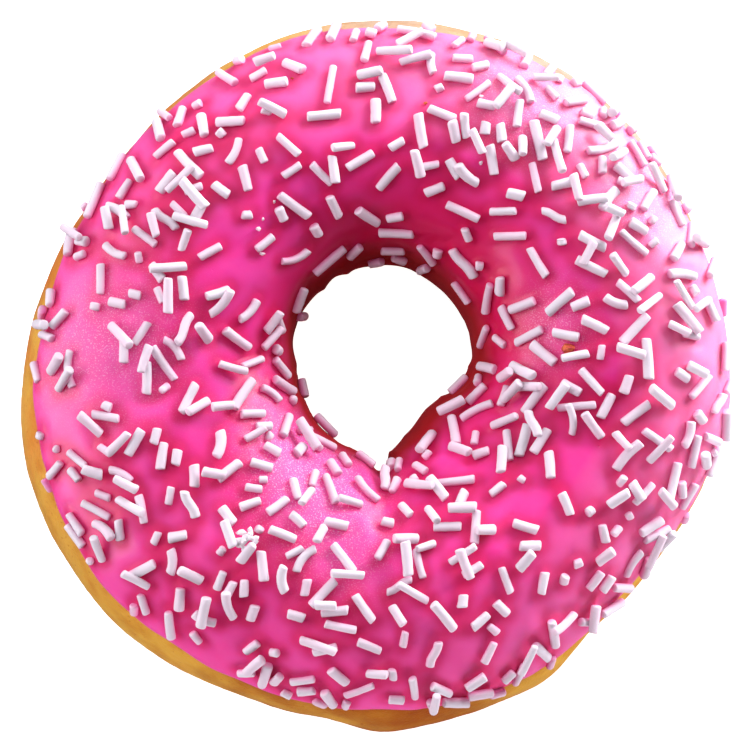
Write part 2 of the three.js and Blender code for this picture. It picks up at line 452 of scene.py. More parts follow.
class Palette:
    """A material's nodes, laid one after another."""

    def __init__(self, name: str) -> None:
        """Start an empty material.

        Args:
            name: The material's name.
        """
        self.made = bpy.data.materials.new(name)
        self.made.use_nodes = True
        self.nodes = self.made.node_tree.nodes
        self.nodes.clear()
        self.place = self.node("ShaderNodeTexCoord").outputs["Object"]

    def node(self, kind: str, **settings: object) -> bpy.types.Node:
        """Add a node.

        Args:
            kind: The node's type.
            settings: The node's own settings.

        Returns:
            The new node.
        """
        made = self.nodes.new(kind)
        for name, value in settings.items():
            setattr(made, name, value)
        return made

    def join(self, value: Socket | float | tuple, socket: Socket) -> None:
        """Feed a socket from another node, or with a plain value."""
        if isinstance(value, bpy.types.NodeSocket):
            self.made.node_tree.links.new(value, socket)
        else:
            socket.default_value = value

    def noise(self, size: float, detail: float) -> Socket:
        """Add a noise.

        Args:
            size: The size of its blotches, in millimetres.
            detail: How many finer noises it holds.

        Returns:
            The noise, from 0 to 1.
        """
        made = self.node("ShaderNodeTexNoise")
        self.join(self.place, made.inputs["Vector"])
        made.inputs["Scale"].default_value = 1.0 / (size * MM)
        made.inputs["Detail"].default_value = detail
        return made.outputs["Fac"]

    def spots(self, spacing: float) -> Socket:
        """Add scattered points and measure how far each place is from the nearest.

        Args:
            spacing: The usual spacing of the points, in millimetres.

        Returns:
            The distance to the nearest point, in spacings.
        """
        made = self.node("ShaderNodeTexVoronoi")
        self.join(self.place, made.inputs["Vector"])
        made.inputs["Scale"].default_value = 1.0 / (spacing * MM)
        return made.outputs["Distance"]

    def measure(self, way: Place) -> Socket:
        """Measure how far each place lies along a direction, in metres."""
        made = self.node("ShaderNodeVectorMath", operation="DOT_PRODUCT")
        self.join(self.place, made.inputs[0])
        self.join(way, made.inputs[1])
        return made.outputs["Value"]

    def toward(self, side: float) -> Socket:
        """Measure how far each place lies towards one side, given in degrees round the ring."""
        return self.measure((math.cos(math.radians(side)), math.sin(math.radians(side)), 0.0))

    def mark(self, name: str) -> Socket:
        """Read a value that the mesh keeps at each point."""
        return self.node("ShaderNodeAttribute", attribute_name=name).outputs["Fac"]

    def sum(self, operation: str, first: Socket | float, second: Socket | float = 0.0) -> Socket:
        """Work out a sum from one or two values.

        Args:
            operation: The name of the sum.
            first: The first value.
            second: The second value.

        Returns:
            The result.
        """
        made = self.node("ShaderNodeMath", operation=operation)
        self.join(first, made.inputs[0])
        self.join(second, made.inputs[1])
        return made.outputs[0]

    def span(
        self, value: Socket, low: float, high: float, start: float = 0.0, end: float = 1.0
    ) -> Socket:
        """Map a span of values smoothly onto another.

        Args:
            value: The value to map.
            low: Where the first span starts.
            high: Where the first span ends.
            start: What the low end becomes.
            end: What the high end becomes.

        Returns:
            The mapped value, held inside the new span.
        """
        made = self.node("ShaderNodeMapRange", interpolation_type="SMOOTHSTEP")
        for socket, given in zip(made.inputs[:5], (value, low, high, start, end), strict=True):
            self.join(given, socket)
        return made.outputs["Result"]

    def spread(self, patches: Patches, start: float = 0.0, end: float = 1.0) -> Socket:
        """Spread patches over the surface, as values from start between them to end inside them."""
        return self.span(self.noise(patches.size, patches.detail), patches.low, patches.high, start, end)

    def ramp(self, value: Socket, stops: tuple[tuple[float, Colour], ...]) -> Socket:
        """Turn a value into a colour.

        Args:
            value: The value, from 0 to 1.
            stops: The places of the colours, and the colours.

        Returns:
            The colour.
        """
        made = self.node("ShaderNodeValToRGB")
        self.join(value, made.inputs["Fac"])
        points = made.color_ramp.elements
        while len(points) < len(stops):
            points.new(0.5)
        for point, (place, colour) in zip(points, stops, strict=True):
            point.position = place
            point.color = plain(colour)
        return made.outputs["Color"]

    def mix(
        self, share: Socket | float, first: Socket | tuple, second: Socket | tuple, way: str = "MIX"
    ) -> Socket:
        """Mix two colours.

        Args:
            share: How much of the second colour is used.
            first: The first colour.
            second: The second colour.
            way: How they are mixed.

        Returns:
            The mixed colour.
        """
        made = self.node("ShaderNodeMix", data_type="RGBA", blend_type=way)
        self.join(share, made.inputs["Factor"])
        self.join(first, made.inputs[MIX_FIRST])
        self.join(second, made.inputs[MIX_SECOND])
        return made.outputs[MIX_RESULT]

    def bump(
        self, height: Socket, depth: float, strength: float = 1.0, under: Socket | None = None
    ) -> Socket:
        """Turn a height into a dent or a grain of the surface.

        Args:
            height: The height, from 0 to 1.
            depth: How deep a height of one is, in millimetres.
            strength: How strongly it shows.
            under: The bump that this one is added to.

        Returns:
            The direction that the surface faces.
        """
        made = self.node("ShaderNodeBump")
        made.inputs["Strength"].default_value = strength
        made.inputs["Distance"].default_value = depth * MM
        self.join(height, made.inputs["Height"])
        if under is not None:
            self.join(under, made.inputs["Normal"])
        return made.outputs["Normal"]

    def finished(self, **values: object) -> bpy.types.Material:
        """End the material with its shader.

        Args:
            values: The shader's sockets, named in small letters with low lines for spaces.

        Returns:
            The material.
        """
        shader = self.node("ShaderNodeBsdfPrincipled")
        for name, value in values.items():
            socket = next(each for each in shader.inputs if each.name.lower().replace(" ", "_") == name)
            self.join(value, socket)
        output = self.node("ShaderNodeOutputMaterial")
        self.join(shader.outputs["BSDF"], output.inputs["Surface"])
        return self.made


@dataclass(frozen=True)
class CrustSide:
    """A side of the crust with its own colour: its direction, where it fades in, and how it mixes."""

    toward: float
    start: float
    full: float
    colour: Colour
    way: str = "MULTIPLY"


@dataclass(frozen=True)
class DoughFinish:
    """Fried crust: golden, with a pale belt, darker towards one side, redder towards another, darker and
    duller towards a third, and browner below.
    """

    reach: float = 34.0
    levels: tuple[tuple[float, Colour], ...] = (
        (0.0, (0.42, 0.145, 0.027)), (4.0, (0.61, 0.26, 0.04)), (8.0, (0.74, 0.42, 0.07)),
        (10.5, (0.80, 0.64, 0.31)), (12.5, (0.80, 0.64, 0.31)), (15.0, (0.70, 0.42, 0.066)),
        (20.0, (0.71, 0.42, 0.05)), (26.0, (0.68, 0.32, 0.026)),
    )
    level_patches: Patches = Patches(13.0, 3.0)
    level_wander: float = 2.2
    # colour shifts by direction round the ring: darker towards 276 degrees, redder towards 150 degrees,
    # darker and duller towards 48 degrees
    sides: tuple[CrustSide, ...] = (
        CrustSide(276.0, 31.0, 46.0, (0.57, 0.33, 0.25)),
        CrustSide(150.0, 30.0, 46.0, (0.92, 0.56, 0.50)),
        CrustSide(48.0, 0.0, 50.0, (0.46, 0.37, 0.25), "MIX"),
    )
    side_patches: Patches = Patches(14.0, 2.0)
    side_wander: float = 8.0
    blotches: Patches = Patches(3.2, 4.0, 0.42, 0.72)
    blotch: Colour = (0.88, 0.74, 0.60)
    specks: Patches = Patches(0.55, 2.0, 0.64, 0.74)
    speck: Colour = (0.78, 0.58, 0.42)
    dull_patches: Patches = Patches(2.4, 2.0)
    glossiest: float = 0.38
    dullest: float = 0.56
    grain_size: float = 0.9
    fine_grain_size: float = 0.28
    fine_grain_share: float = 0.4
    grain_depth: float = 0.16

    def material(self) -> bpy.types.Material:
        """Make the material.

        Returns:
            The material.
        """
        palette = Palette("fried_crust")
        shift = palette.spread(self.level_patches, -self.level_wander * MM, self.level_wander * MM)
        level = palette.sum("ADD", palette.measure((0.0, 0.0, 1.0)), shift)
        share = palette.sum("DIVIDE", level, self.reach * MM)
        crust = palette.ramp(share, tuple((height / self.reach, colour) for height, colour in self.levels))
        uneven = palette.spread(self.side_patches, -self.side_wander * MM, self.side_wander * MM)
        for side in self.sides:
            reached = palette.sum("ADD", palette.toward(side.toward), uneven)
            reached = palette.span(reached, side.start * MM, side.full * MM)
            crust = palette.mix(reached, crust, plain(side.colour), side.way)
        for patches, colour in ((self.blotches, self.blotch), (self.specks, self.speck)):
            crust = palette.mix(palette.spread(patches), crust, plain(colour), "MULTIPLY")
        coarse = palette.noise(self.grain_size, 4.0)
        fine = palette.sum("MULTIPLY", palette.noise(self.fine_grain_size, 2.0), self.fine_grain_share)
        return palette.finished(
            base_color=crust,
            roughness=palette.spread(self.dull_patches, self.glossiest, self.dullest),
            subsurface_weight=0.12,
            subsurface_radius=(0.0016, 0.0007, 0.0003),
            subsurface_scale=1.0,
            specular_ior_level=0.5,
            normal=palette.bump(palette.sum("ADD", coarse, fine), self.grain_depth),
        )


@dataclass(frozen=True)
class IcingFinish:
    """Raspberry icing: satin pink sugar, frosty in places with painted sheen and glints there, painted shade
    round the strands that is partly a real moist darkening, painted shade darkening to dark red in the hole,
    and a pale rim that is partly thinner icing and partly a painted highlight.
    """

    colour: Colour = (0.93, 0.070, 0.40)
    blotches: Patches = Patches(6.0, 3.0, 0.35, 0.7)
    blotch: Colour = (0.89, 0.040, 0.32)
    # painted shade round the strands, partly a real moist darkening
    damp_and_shade: Colour = (0.62, 0.003, 0.06)
    damp_and_shade_share: float = 0.78
    damp_and_shade_least: float = 0.05
    # painted shade: the red that the icing darkens to towards the hole
    deep: Colour = (0.63, 0.002, 0.085)
    # painted shade: the dark red low on the hole's side
    wall: Colour = (0.34, 0.001, 0.004)
    # the pale rim colour: partly thinner icing, partly a painted highlight on the side towards the key lamp
    thin: Colour = (0.93, 0.38, 0.54)
    # painted glints: pale dots in the colour over the frosty patches
    crystal_glint: Colour = (1.0, 0.72, 0.90)
    crystal_glints: Patches = Patches(0.17, 1.0, 0.57, 0.66)
    crystal_glint_share: float = 0.55
    # painted sheen: a paler colour over the frosty patches
    frosted_sheen: Colour = (0.97, 0.38, 0.62)
    frosted_sheen_share: float = 0.18
    gleam: Colour = (1.0, 0.96, 0.92)
    veil: Colour = (1.0, 0.80, 1.0)
    grain_size: float = 0.16
    grain_depth: float = 0.08
    grain_least: float = 0.2
    glossiest: float = 0.34
    dullest: float = 0.44
    soft_size: float = 1.6
    soft_depth: float = 0.04
    soft_strength: float = 0.5
    hole_spacing: float = 4.2
    hole_width: float = 0.035
    hole_depth: float = 0.12

    def material(self) -> bpy.types.Material:
        """Make the material.

        Returns:
            The material.
        """
        palette = Palette("raspberry_icing")
        thin, frost_and_sheen, wall = (palette.mark(name) for name in (THIN_AND_LIT, FROST_AND_SHEEN, PAINTED_WALL_SHADE))
        # how much painted shade round the strands shows: less on the pale rim and the frosty patches, where
        # painted highlight lies
        damp_and_shade_strength = palette.span(palette.sum("MAXIMUM", thin, frost_and_sheen), 0.0, 1.0, self.damp_and_shade_share, self.damp_and_shade_least)
        crystal_glints = palette.sum("MULTIPLY", frost_and_sheen, self.crystal_glint_share)
        colour = palette.mix(palette.spread(self.blotches), plain(self.colour), plain(self.blotch))
        for share, over in (
            # pale rim: thinner icing and painted highlight
            (thin, self.thin),
            (palette.sum("MULTIPLY", palette.mark(DAMP_AND_SHADE), damp_and_shade_strength), self.damp_and_shade),
            # painted shade towards the hole
            (palette.mark(PAINTED_HOLE_SHADE), self.deep),
            # painted shade low on the hole's side
            (wall, self.wall),
            # painted sheen and painted glints over the frosty patches
            (palette.sum("MULTIPLY", frost_and_sheen, self.frosted_sheen_share), self.frosted_sheen),
            (palette.sum("MULTIPLY", palette.spread(self.crystal_glints), crystal_glints), self.crystal_glint),
        ):
            colour = palette.mix(share, colour, plain(over))
        frosting = palette.span(frost_and_sheen, 0.0, 1.0, self.grain_least)
        grain = palette.sum("MULTIPLY", palette.noise(self.grain_size, 3.0), frosting)
        soft = palette.bump(palette.noise(self.soft_size, 3.0), self.soft_depth, self.soft_strength)
        frosty = palette.bump(grain, self.grain_depth, 1.0, soft)
        holes = palette.span(palette.spots(self.hole_spacing), 0.0, self.hole_width)
        pitted = palette.bump(holes, self.hole_depth, 1.0, frosty)
        dullness = palette.span(grain, 0.0, 0.5, self.glossiest, self.dullest)
        return palette.finished(
            base_color=colour,
            roughness=palette.sum("MAXIMUM", dullness, wall),
            subsurface_weight=0.45,
            subsurface_radius=(0.0028, 0.0003, 0.0008),
            subsurface_scale=1.0,
            specular_ior_level=0.5,
            specular_tint=plain(self.gleam),
            sheen_weight=0.03,
            sheen_roughness=0.4,
            sheen_tint=plain(self.veil),
            normal=pitted,
        )


@dataclass(frozen=True)
class StrandFinish:
    """Matt white sugar with a fine uneven skin, pink where icing has soaked in, with painted pink bounce
    light low on each strand and painted shade on strands near the hole.
    """

    name: str = "white_sugar"
    colour: Colour = (0.73, 0.77, 0.78)
    # the pink of soaked icing, also used for painted bounce light and painted shade
    soaked: Colour = (0.80, 0.20, 0.46)
    skin_size: float = 0.32
    skin_depth: float = 0.035

    def material(self) -> bpy.types.Material:
        """Make the material.

        Returns:
            The material.
        """
        palette = Palette(self.name)
        return palette.finished(
            base_color=palette.mix(palette.mark(STAIN_AND_BOUNCE), plain(self.colour), plain(self.soaked)),
            roughness=0.55,
            subsurface_weight=0.25,
            subsurface_radius=(0.0009, 0.0007, 0.0007),
            subsurface_scale=1.0,
            specular_ior_level=0.35,
            normal=palette.bump(palette.noise(self.skin_size, 3.0), self.skin_depth),
        )


@dataclass(frozen=True)
class CrustCrumbFinish:
    """A crumb of browned crust."""

    light: Colour = (0.72, 0.18, 0.05)
    dark: Colour = (0.44, 0.04, 0.03)
    patches: Patches = Patches(0.5, 3.0, 0.35, 0.65)
    grain_size: float = 0.3
    grain_depth: float = 0.08

    def material(self) -> bpy.types.Material:
        """Make the material.

        Returns:
            The material.
        """
        palette = Palette("crust_crumb")
        return palette.finished(
            base_color=palette.mix(palette.spread(self.patches), plain(self.light), plain(self.dark)),
            roughness=0.7,
            normal=palette.bump(palette.noise(self.grain_size, 3.0), self.grain_depth),
        )


@dataclass(frozen=True)
class FloorFinish:
    """The plain pale floor, which glows a little so that it stays pale round the doughnut."""

    colour: Colour = (0.92, 0.92, 0.92)
    glow: float = 1.05

    def material(self) -> bpy.types.Material:
        """Make the material.

        Returns:
            The material.
        """
        palette = Palette("pale_floor")
        return palette.finished(
            base_color=plain(self.colour),
            roughness=0.9,
            specular_ior_level=0.1,
            emission_color=plain(self.colour),
            emission_strength=self.glow,
        )


@dataclass
class DoughRing:
    """The fried dough: a crust of slow heaves and fine wrinkles, a belt round its side, flat underneath."""

    form: RingForm
    around: int = 600
    section: int = 150
    heaves: tuple[tuple[float, float], ...] = ((14.0, 0.26), (5.5, 0.12), (2.1, 0.045))
    heave_seed: int = 31
    swellings: tuple[Bump, ...] = (
        Bump(-89, 5, 0.55), Bump(-62, 6, 0.6), Bump(-99, 4, -0.25), Bump(-50, 5, -0.4),
    )
    wrinkle_size: float = 0.05
    wrinkle_wave: float = 0.9
    wrinkle_squash: float = 0.3
    wrinkle_least: float = 0.35
    wrinkle_seed: int = 41
    belt_height: float = 11.5
    belt_reach: float = 2.6
    belt_depth: float = 0.3
    pressed_in: float = 0.35
    press_width: float = 0.03

    def relief(self, points: Array, angle: Array, latitude: Array) -> Array:
        """Find how far the crust stands out of the plain form.

        Args:
            points: Points of the plain form, in millimetres.
            angle: Their directions round the ring.
            latitude: Their latitudes.

        Returns:
            The height at each point, in millimetres.
        """
        height = sum(swelling.over(angle) for swelling in self.swellings) * np.cos(latitude).clip(0.0, 1.0)
        for number, (wavelength, size) in enumerate(self.heaves):
            height += size * Grain(self.heave_seed + number).at(points, wavelength)
        stretched = points * np.array([1.0, 1.0, self.wrinkle_squash])
        wrinkles = 1.0 - 2.0 * np.abs(Grain(self.wrinkle_seed).at(stretched, self.wrinkle_wave))
        side = np.exp(-(((points[..., 2] - self.belt_height) / self.belt_reach) ** 2))
        outside = 1.0 - self.form.hole_strength(latitude)
        height -= self.belt_depth * side * outside
        height += self.form.nicks(points, latitude)
        height += self.wrinkle_size * wrinkles * (self.wrinkle_least + side * outside)
        start = self.form.latitude(angle, np.zeros_like(angle))
        end = self.form.latitude(angle, np.ones_like(angle))
        share = (latitude - start) / (end - start)
        covered = eased(np.clip(np.minimum(share, 1.0 - share) / self.press_width, 0.0, 1.0))
        return height * (1.0 - covered) - self.pressed_in * covered

    def build(self) -> bpy.types.Object:
        """Make the dough.

        Returns:
            The finished piece.
        """
        angle, latitude = np.meshgrid(
            np.arange(self.around) / self.around * TURN,
            np.arange(self.section) / self.section * TURN,
            indexing="ij",
        )
        smooth = self.form.pleated(self.form.body(angle, latitude), angle, latitude)
        out = frame_of(self.form.body, angle, latitude)[2]
        points = self.form.placed(smooth + out * self.relief(smooth, angle, latitude)[..., None])
        points[..., 2] = np.maximum(0.0, points[..., 2])
        made = closed_grid("dough_ring", points)
        made.data.materials.append(DoughFinish().material())
        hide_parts("dough")
        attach(made, BODY)
        return made


class Course(Enum):
    """How a strand runs along its length."""

    STRAIGHT = "straight"
    BENT = "bent"
    WAVY = "wavy"


class Lie(Enum):
    """How a batch of strands lies on the coat."""

    CLEAR = "clear of every other strand"
    CLOSE = "touching its neighbours"
    PILED = "over one or two other strands"


@dataclass(frozen=True)
class StrandBatch:
    """One batch of strands: how many, how long, how they lie, and the part of the coat that carries them."""

    count: int
    short: float
    long: float
    lie: Lie = Lie.CLEAR
    low: float = 0.04
    high: float = 0.82
    tip: float = 5.0
    sunk: float = 0.32
    coated: float = 0.0


@dataclass(frozen=True)
class PlacedStrand:
    """A strand with a place of its own: its direction and share on the coat, heading, tip and length."""

    angle: float
    share: float
    heading: float
    tip: float
    length: float


@dataclass
class Strand:
    """One strand as it lies, in millimetres; ground is the icing under its middle."""

    middle: Array
    direction: Array
    out: Array
    ground: Array
    half: float
    radius: float
    coated: float

    def away(self, points: Array) -> Array:
        """How far points are from the strand's skin, in millimetres."""
        gap = points - self.middle
        along = np.clip(gap @ self.direction, -self.half, self.half)
        return np.linalg.norm(gap - along[:, None] * self.direction, axis=1) - self.radius


@dataclass
class Tries:
    """Many strands tried at random, as arrays."""

    middle: Array
    direction: Array
    out: Array
    ground: Array
    half: Array
    radius: Array
    wanted: Array

    def strand(self, row: int, coated: float) -> Strand:
        """Take out one of the tries as a strand."""
        parts = (self.middle[row], self.direction[row], self.out[row], self.ground[row])
        return Strand(*parts, float(self.half[row]), float(self.radius[row]), coated)


@dataclass
class Neighbours:
    """How a strand stands to others: how far, where along itself, the way between, and both radii added."""

    distance: Array
    along: Array
    gap: Array
    sums: Array


class Draw:
    """The repeatable draw of numbers between 0 and 1 that lays the strands."""

    FACTOR = 16807
    WRAP = 2147483647

    def __init__(self, seed: int) -> None:
        """Start the draw.

        Args:
            seed: The first state.
        """
        self.state = seed

    def rows(self, count: int, columns: int) -> Array:
        """Draw a table of numbers, row by row.

        Args:
            count: How many rows.
            columns: How many numbers in a row.

        Returns:
            The numbers, in the order drawn.
        """
        drawn = np.empty(count * columns)
        for place in range(drawn.size):
            self.state = self.state * self.FACTOR % self.WRAP
            drawn[place] = self.state / self.WRAP
        return drawn.reshape(count, columns)


@dataclass
class StrandLayout:
    """Lays the strands: first the largest, as the solids have them, then the smaller and the piled ones."""

    form: RingForm
    solid_seed: int = 20417
    fine_seed: int = 771
    draws_each: int = 7
    most_tries: int = 6000
    chunk: int = 500
    most_plenty: float = 2.8
    thin: float = 0.49
    thick: float = 0.66
    solid_batches: tuple[StrandBatch, ...] = (
        StrandBatch(50, 4.0, 5.2), StrandBatch(85, 3.0, 4.0), StrandBatch(50, 2.0, 3.0),
    )
    fine_batches: tuple[StrandBatch, ...] = (
        StrandBatch(92, 2.6, 4.8, Lie.PILED, low=0.05, high=0.79),
        StrandBatch(94, 2.2, 4.2, Lie.CLOSE, low=0.035, high=0.81),
        StrandBatch(54, 1.5, 2.4, Lie.CLOSE, low=0.03, high=0.82),
        StrandBatch(46, 0.8, 1.5, Lie.CLOSE, low=0.02, high=0.82, tip=40.0),
        StrandBatch(44, 2.4, 4.4, Lie.PILED, low=0.06, high=0.79),
        StrandBatch(12, 1.6, 3.0, Lie.CLEAR, low=0.0, high=0.07, sunk=0.45, coated=0.25),
    )
    placed: tuple[PlacedStrand, ...] = (
        PlacedStrand(147, 0.90, 124, 10, 2.0),
        PlacedStrand(194, 0.96, 8, 0, 2.4),
        PlacedStrand(226, 0.95, 0, 0, 3.6),
        PlacedStrand(92, 0.88, 20, 0, 1.9),
        PlacedStrand(80, 0.86, 150, 0, 2.0),
        PlacedStrand(66, 0.86, 80, 0, 2.8),
        PlacedStrand(-15, 0.90, 12, 0, 3.0),
    )
    solid_spots: tuple[Spot, ...] = (
        Spot(26, 27, 12, 2.5), Spot(17, -2, 5, 1.8), Spot(9, -16, 6, 1.8), Spot(-9, -16, 6, 1.5),
        Spot(-15, -8, 5, 1.4), Spot(-15, -25, 7, 1.3), Spot(32, -18, 6, 1.3), Spot(0, 37, 7, 1.3),
        Spot(12, 13, 7, 0.4), Spot(-1, 18, 7, 0.4), Spot(-13, 12, 7, 0.5), Spot(-36, 3, 8, 0.5),
        Spot(22, -14, 6, 0.35), Spot(9, -35, 8, 0.6), Spot(25, -32, 6, 0.6),
    )
    fine_spots: tuple[Spot, ...] = (
        Spot(17, -4, 5, 2.4), Spot(25, 24, 7, 2.0), Spot(33, 14, 6, 1.6), Spot(18, 33, 7, 2.3),
        Spot(-18, -23, 4, 2.0), Spot(-17, -22.4, 1.8, 0.0), Spot(-23, 22, 6, 1.5),
        Spot(31, 21, 6, 1.5), Spot(-17, -1, 5, 1.7), Spot(-10, -16, 6, 2.0), Spot(1, -18, 5, 1.5),
        Spot(12, 12, 6, 0.3), Spot(0, 17, 6, 0.25), Spot(-13, 11, 6, 0.3), Spot(18, 8, 5, 0.5),
        Spot(19, 19, 5, 0.6), Spot(1, 27, 6, 0.7), Spot(0, -28, 7, 0.4), Spot(28, -1, 6, 0.5),
        Spot(17, -9, 4, 0.6), Spot(-35, 0, 7, 0.6), Spot(0, -36, 7, 0.7), Spot(18, -34, 6, 0.7),
    )
    steepest: float = 26.0
    least_stance: float = 0.8
    touching: float = 0.93
    overlap: float = 0.06
    nearly_level: float = 1e-9
    never_zero: float = 1e-12
    laid: list[Strand] = field(default_factory=list)

    def lay(self) -> list[Strand]:
        """Lay every batch in turn.

        Returns:
            The strands, the largest first.
        """
        for seed, batches, spots in (
            (self.solid_seed, self.solid_batches, self.solid_spots),
            (self.fine_seed, self.fine_batches, self.solid_spots + self.fine_spots),
        ):
            draws = Draw(seed).rows(self.most_tries * len(batches), self.draws_each)
            used = 0
            for batch in batches:
                used = self.lay_batch(batch, draws, used, spots)
            if batches is self.solid_batches:
                self.lay_placed()
        return self.laid

    def lay_placed(self) -> None:
        """Lay the strands that have a place of their own, where they have room."""
        for wish in self.placed:
            batch = StrandBatch(1, wish.length, wish.length, Lie.CLOSE, wish.share, wish.share, wish.tip)
            row = np.array([[wish.angle / 360 % 1, 0.0, wish.heading / 360, 1.0, 0.0, 0.5, 0.0]])
            strand = self.settled(self.tries(batch, row, ()).strand(0, 0.0), batch.lie)
            if strand is not None:
                self.laid.append(strand)

    def lay_batch(self, batch: StrandBatch, draws: Array, used: int, spots: tuple[Spot, ...]) -> int:
        """Lay one batch of strands.

        Args:
            batch: The batch.
            draws: The table of drawn numbers, one row to a try.
            used: How many rows were used by the batches before.
            spots: Where strands lie thick or thin.

        Returns:
            How many rows have been used in all.
        """
        left = batch.count
        for first in range(used, used + self.most_tries, self.chunk):
            tries = self.tries(batch, draws[first : first + self.chunk], spots)
            for row in np.flatnonzero(tries.wanted):
                strand = self.settled(tries.strand(int(row), batch.coated), batch.lie)
                if strand is None:
                    continue
                self.laid.append(strand)
                left -= 1
                if left == 0:
                    return first + int(row) + 1
        return used + self.most_tries

    def tries(self, batch: StrandBatch, draws: Array, spots: tuple[Spot, ...]) -> Tries:
        """Place strands at random on the coat.

        Args:
            batch: The batch that they belong to.
            draws: The drawn numbers, one row to a strand.
            spots: Where strands lie thick or thin.

        Returns:
            The strands, and which of them the thick and thin places want.
        """
        turned, inward, headed, tipped, length, girth, lot = draws.T
        angle = turned * TURN
        share = batch.low + (batch.high - batch.low) * inward
        heading = (headed * TURN)[:, None]
        tip = np.radians(batch.tip * (2.0 * tipped - 1.0))[:, None]
        half = (batch.short + (batch.long - batch.short) * length) / 2
        radius = self.thin + (self.thick - self.thin) * girth
        place = self.form.icing(angle, share)
        along, across, out = frame_of(self.form.icing, angle, share)
        level = along * np.cos(heading) + across * np.sin(heading)
        direction = level * np.cos(tip) + out * np.sin(tip)
        middle = place + out * (radius - batch.sunk)[:, None]
        spacing = np.hypot(place[:, 0], place[:, 1]) / self.form.outer_radius
        wanted = lot * self.most_plenty < self.plenty(place, spots) * spacing
        return Tries(middle, direction, out, place, half, radius, wanted)

    def plenty(self, place: Array, spots: tuple[Spot, ...]) -> Array:
        """How many times the usual number of strands lie at places seen from above."""
        times = np.ones(len(place))
        for spot in spots:
            times *= 1 + (spot.times - 1) * spot.over(place)
        return times

    def settled(self, strand: Strand, lie: Lie) -> Strand | None:
        """Fit a strand among those laid before it.

        Args:
            strand: The strand where it first lies.
            lie: How it may lie.

        Returns:
            The strand as it comes to rest, or None where it has no room.
        """
        if not self.laid:
            return strand
        near = self.neighbours(strand)
        if lie is Lie.CLEAR:
            return strand if (near.distance > near.sums).all() else None
        if lie is Lie.CLOSE:
            return strand if (near.distance > self.touching * near.sums).all() else None
        under = np.flatnonzero(near.distance < near.sums)
        if len(under) not in (1, 2):
            return None
        lifts = near.sums[under] - near.gap[under] @ strand.out
        rests = sorted(zip(near.along[under].tolist(), lifts.tolist(), strict=True))
        if len(rests) == 1:
            crossing, lift = rests[0]
            far = -strand.half if crossing >= 0 else strand.half
            rests = sorted([(crossing, lift), (far, 0.0)])
        return self.propped(strand, *rests)

    def propped(self, strand: Strand, first: tuple[float, float], last: tuple[float, float]) -> Strand | None:
        """Lift a strand onto two rests.

        Args:
            strand: The strand where it first lies.
            first: Where the first rest is along the strand, and how far it lifts it there.
            last: The same for the other rest.

        Returns:
            The lifted strand, or None where it would topple, stand too steep or cut through another.
        """
        apart = last[0] - first[0]
        if apart < strand.half * self.least_stance or first[0] > 0 or last[0] < 0:
            return None
        slope = math.atan((last[1] - first[1]) / apart)
        if abs(math.degrees(slope)) > self.steepest:
            return None
        lift = first[1] - first[0] * math.tan(slope)
        direction = unit(strand.direction * math.cos(slope) + strand.out * math.sin(slope))
        lifted = replace(strand, middle=strand.middle + strand.out * lift, direction=direction)
        near = self.neighbours(lifted)
        return lifted if (near.distance > self.touching * near.sums - self.overlap).all() else None

    def neighbours(self, strand: Strand) -> Neighbours:
        """Measure a strand against all those laid.

        Args:
            strand: The strand.

        Returns:
            How it stands to each.
        """
        middles, directions, halves, radii = (
            np.array([getattr(other, part) for other in self.laid])
            for part in ("middle", "direction", "half", "radius")
        )
        gap = strand.middle - middles
        facing = directions @ strand.direction
        along_one = gap @ strand.direction
        along_other = np.einsum("ij,ij->i", gap, directions)
        spread = np.maximum(1 - facing * facing, self.never_zero)
        first = np.where(spread > self.nearly_level, (facing * along_other - along_one) / spread, 0.0)
        first = np.clip(first, -strand.half, strand.half)
        other = np.clip(facing * first + along_other, -halves, halves)
        first = np.clip(facing * other - along_one, -strand.half, strand.half)
        nearest = gap + strand.direction * first[:, None] - directions * other[:, None]
        return Neighbours(np.linalg.norm(nearest, axis=1), first, nearest, radii + strand.radius)


